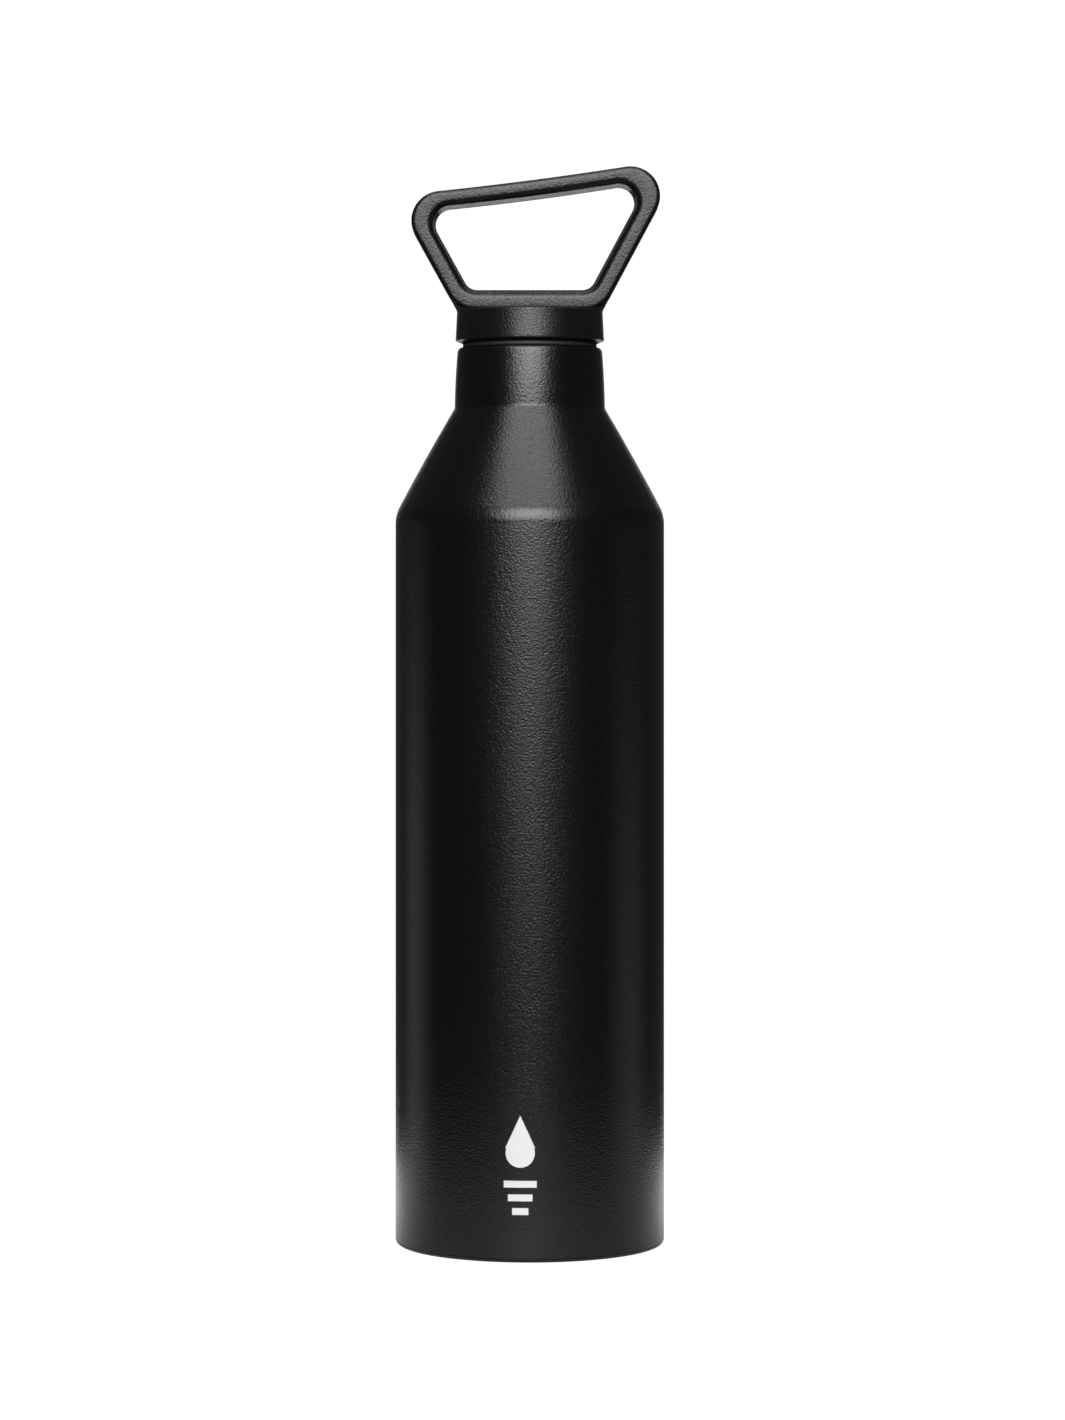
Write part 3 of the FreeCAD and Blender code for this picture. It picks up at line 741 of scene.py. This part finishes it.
def powder_coat(name, marked):
    """Matte black powder coat: fine pebbled grain, faint cloudiness in its sheen, and on
    the body a small etched mark of bare brushed steel."""
    finish = Finish(name, Specular_IOR_Level=0.5)
    grain = finish.noise(GRAIN, 1.0, 0.5)
    fine = finish.noise(GRAIN * 1.5, 1.0, 0.5)
    cloud = finish.noise(45.0, 2.0)
    pebble = grain * 0.6 + fine * 0.4
    roughness = 0.24 + 0.03 * (cloud - 0.5) + 0.10 * (pebble - 0.5)
    colour = finish.blend(pebble, grey(0.0005), grey(0.0020))
    if marked:
        mark = drop_mark(finish)
        streak = finish.noise(1.0, 3.0, 0.6, finish.place((900.0, 900.0, 9000.0)))
        steel = finish.blend(streak, grey(0.42), grey(0.62))
        colour = finish.blend(mark, colour, steel)
        roughness = roughness * (1 - mark) + (0.42 + 0.2 * streak) * mark
        finish.feed("Metallic", mark * 0.35)
        pebble = pebble * (1 - mark) + (streak * 0.4 - 0.3) * mark
    finish.feed("Base Color", colour)
    finish.feed("Roughness", roughness)
    finish.bump(pebble, 0.8, 0.00014)
    return finish.material


def drop_mark(finish):
    """Generic mark on the front: a water drop over three short level bars. Worked out
    from distances in the XZ plane, with soft edges a few hundredths of a millimetre."""
    x, y, z = finish.axes()
    across = (x - MARK_CENTRE[0]) * (1 / MM)
    up = (z - MARK_CENTRE[1]) * (1 / MM)
    round_up = up - DROP_HEIGHT
    circle = DROP_RADIUS - (across * across + round_up * round_up) ** 0.5
    taper = ((DROP_TIP - round_up) * DROP_TAPER - across.absolute()).smaller(round_up - DROP_NECK)
    shape = circle.larger(taper)
    for level, half in MARK_BARS:
        bar = (half - across.absolute()).smaller(BAR_HALF_WIDTH - (up - level).absolute())
        shape = shape.larger(bar)
    front = (y * -1000.0).clamped()
    return (shape * MARK_SHARPNESS).clamped() * front


def cap_plastic():
    """Black moulded plastic with a fine spark-eroded texture."""
    finish = Finish("cap_plastic", Specular_IOR_Level=0.42)
    grain = finish.noise(PLASTIC_GRAIN, 1.0, 0.5)
    cloud = finish.noise(60.0, 2.0)
    finish.feed("Base Color", finish.blend(grain, grey(0.001), grey(0.003)))
    finish.feed("Roughness", 0.31 + 0.05 * (cloud - 0.5) + 0.10 * (grain - 0.5))
    finish.bump(grain, 0.8, 0.00011)
    return finish.material


def plug_plastic():
    """Smoother black plastic, with faint turning marks round the axis."""
    finish = Finish("plug_plastic", Specular_IOR_Level=0.5)
    rings = finish.noise(1.0, 2.0, 0.5, finish.place((60.0, 60.0, 5200.0)))
    finish.feed("Base Color", finish.blend(rings, grey(0.012), grey(0.022)))
    finish.feed("Roughness", 0.33 + 0.10 * rings)
    finish.bump(rings, 0.2, 0.00003)
    return finish.material


def silicone():
    """Matte dark silicone with a very fine grain."""
    finish = Finish("silicone", Specular_IOR_Level=0.4)
    grain = finish.noise(2600.0, 1.0)
    finish.feed("Base Color", finish.blend(grain, grey(0.010), grey(0.018)))
    finish.feed("Roughness", 0.5 + 0.12 * grain)
    finish.bump(grain, 0.25, 0.00004)
    return finish.material


def steel(name, low, high, ring_scale):
    """Bare stainless steel with fine marks that run round the axis."""
    finish = Finish(name, Metallic=1.0)
    rings = finish.noise(1.0, 3.0, 0.6, finish.place((40.0, 40.0, ring_scale)))
    smudge = finish.noise(70.0, 2.0)
    finish.feed("Base Color", finish.blend(smudge, grey(low), grey(high)))
    finish.feed("Roughness", 0.22 + 0.12 * rings + 0.08 * smudge)
    finish.bump(rings, 0.25, 0.00004)
    return finish.material


def grainy(name, low, high, scale, rough):
    """Plain matte stuff with a visible grain, such as foam or pressed powder."""
    finish = Finish(name)
    grain = finish.noise(scale, 3.0, 0.6)
    finish.feed("Base Color", finish.blend(grain, grey(low), grey(high)))
    finish.feed("Roughness", rough + 0.1 * grain)
    finish.bump(grain, 0.5, 0.0001)
    return finish.material


def paint(thing, material):
    """Give a piece or a CAD node its one material."""
    thing.data.materials.clear()
    thing.data.materials.append(material)


# ================= stage =================
def studio():
    """White surroundings for the lens, and a dim even room for everything else."""
    world = bpy.data.worlds.new("studio")
    bpy.context.scene.world = world
    world.use_nodes = True
    tree = world.node_tree
    tree.nodes.clear()
    rays = tree.nodes.new("ShaderNodeLightPath")
    seen = tree.nodes.new("ShaderNodeBackground")
    seen.inputs["Color"].default_value = grey(1.0)
    seen.inputs["Strength"].default_value = SURROUND_LEVEL
    around = tree.nodes.new("ShaderNodeBackground")
    around.inputs["Color"].default_value = grey(1.0)
    around.inputs["Strength"].default_value = ROOM_LEVEL
    mixer = tree.nodes.new("ShaderNodeMixShader")
    output = tree.nodes.new("ShaderNodeOutputWorld")
    tree.links.new(rays.outputs["Is Camera Ray"], mixer.inputs[0])
    tree.links.new(around.outputs[0], mixer.inputs[1])
    tree.links.new(seen.outputs[0], mixer.inputs[2])
    tree.links.new(mixer.outputs[0], output.inputs[0])


def table_top():
    """Flat disc that the bottle stands on and reflects, brighter behind than in front.
    It isn't seen by the lens, which sees the same white all round the bottle."""
    points = turned_points(TABLE_RADIUS, 0.0, around(TABLE_SIDES))
    mesh = bpy.data.meshes.new("table_top")
    mesh.from_pydata(points.tolist(), [], [list(range(TABLE_SIDES))])
    top = bpy.data.objects.new("table_top", mesh)
    bpy.context.scene.collection.objects.link(top)
    top.visible_camera = False
    finish = Finish("table_white", Base_Color=grey(0.45), Roughness=0.8)
    behind = (finish.axes()[1] * 12.0 + 0.3).clamped()
    finish.feed("Emission Color", finish.blend(behind, grey(0.0), grey(TABLE_GLOW)))
    finish.feed("Emission Strength", 1.0)
    paint(top, finish.material)


def softbox(name, azimuth, elevation, wide, tall, level):
    """Even rectangular light LIGHT_DISTANCE from the bottle's middle, facing it. It lies
    at an azimuth from the front and an elevation, spans two angles, all in degrees, and
    shows the bottle a brightness of level."""
    turn, lift = math.radians(azimuth), math.radians(elevation)
    away = Vector((math.sin(turn) * math.cos(lift), -math.cos(turn) * math.cos(lift),
                   math.sin(lift)))
    light = bpy.data.lights.new(name, "AREA")
    light.shape = "RECTANGLE"
    light.size = 2 * LIGHT_DISTANCE * math.tan(math.radians(wide / 2))
    light.size_y = 2 * LIGHT_DISTANCE * math.tan(math.radians(tall / 2))
    light.energy = level * math.pi * light.size * light.size_y
    lamp = bpy.data.objects.new(name, light)
    bpy.context.scene.collection.objects.link(lamp)
    lamp.location = Vector((0, 0, LIGHT_TARGET)) + away * LIGHT_DISTANCE
    lamp.rotation_euler = away.to_track_quat("Z", "Y").to_euler()
    lamp.visible_camera = False


def camera():
    """Level camera in front; its shift puts the bottle in the frame without tilting."""
    lens = bpy.data.cameras.new("camera")
    lens.sensor_fit = "AUTO"
    lens.sensor_width = 36.0
    lens.lens = CAMERA_LENS
    lens.shift_y = CAMERA_SHIFT
    lens.clip_start = 0.01
    lens.clip_end = 50.0
    holder = bpy.data.objects.new("camera", lens)
    bpy.context.scene.collection.objects.link(holder)
    holder.location = CAMERA_PLACE
    holder.rotation_euler = (math.pi / 2, 0, 0)
    bpy.context.scene.camera = holder


bpy.context.scene.view_settings.view_transform = "Standard"
camera()
studio()
table_top()
softbox("key", 0, 26.5, 28, 38, 8.2)
softbox("key_spread", 0, 26.5, 48, 38, 5.2)
softbox("key_skirt", 0, 2.7, 20, 5, 3.0)
softbox("overhead", -3, 66.0, 44, 18, 4.6)
softbox("left_fill", -113, -8.5, 26, 12, 0.38)
softbox("right_fill", 92, -10.5, 32, 10, 0.40)
softbox("back_low", 180, -19.5, 40, 14, 1.8)
softbox("back_mid", 180, 8.0, 34, 12, 0.5)
softbox("back_top", 180, 58.0, 60, 24, 1.5)

body = bottle_body()
pan = base_pan()
vessel = inner_vessel()
plug = threaded_plug()
ring = sealing_ring()
loop = carry_loop()
cap = cap_body()

paint(body, powder_coat("powder_coat", marked=True))
paint(pan, powder_coat("powder_coat_base", marked=False))
plastic = cap_plastic()
paint(cap, plastic)
paint(loop, plastic)
paint(plug, plug_plastic())
paint(ring, silicone())
bare_steel = steel("polished_steel", 0.52, 0.66, 4200.0)
paint(vessel, bare_steel)
paint(nodes["inner_base"], bare_steel)
paint(nodes["getter_holder"], bare_steel)
paint(nodes["getter"], grainy("getter_metal", 0.16, 0.30, 2600.0, 0.75))
paint(nodes["seal_bead"], steel("solder", 0.38, 0.50, 900.0))
paint(nodes["plug_foam"], grainy("foam", 0.70, 0.86, 1500.0, 0.85))
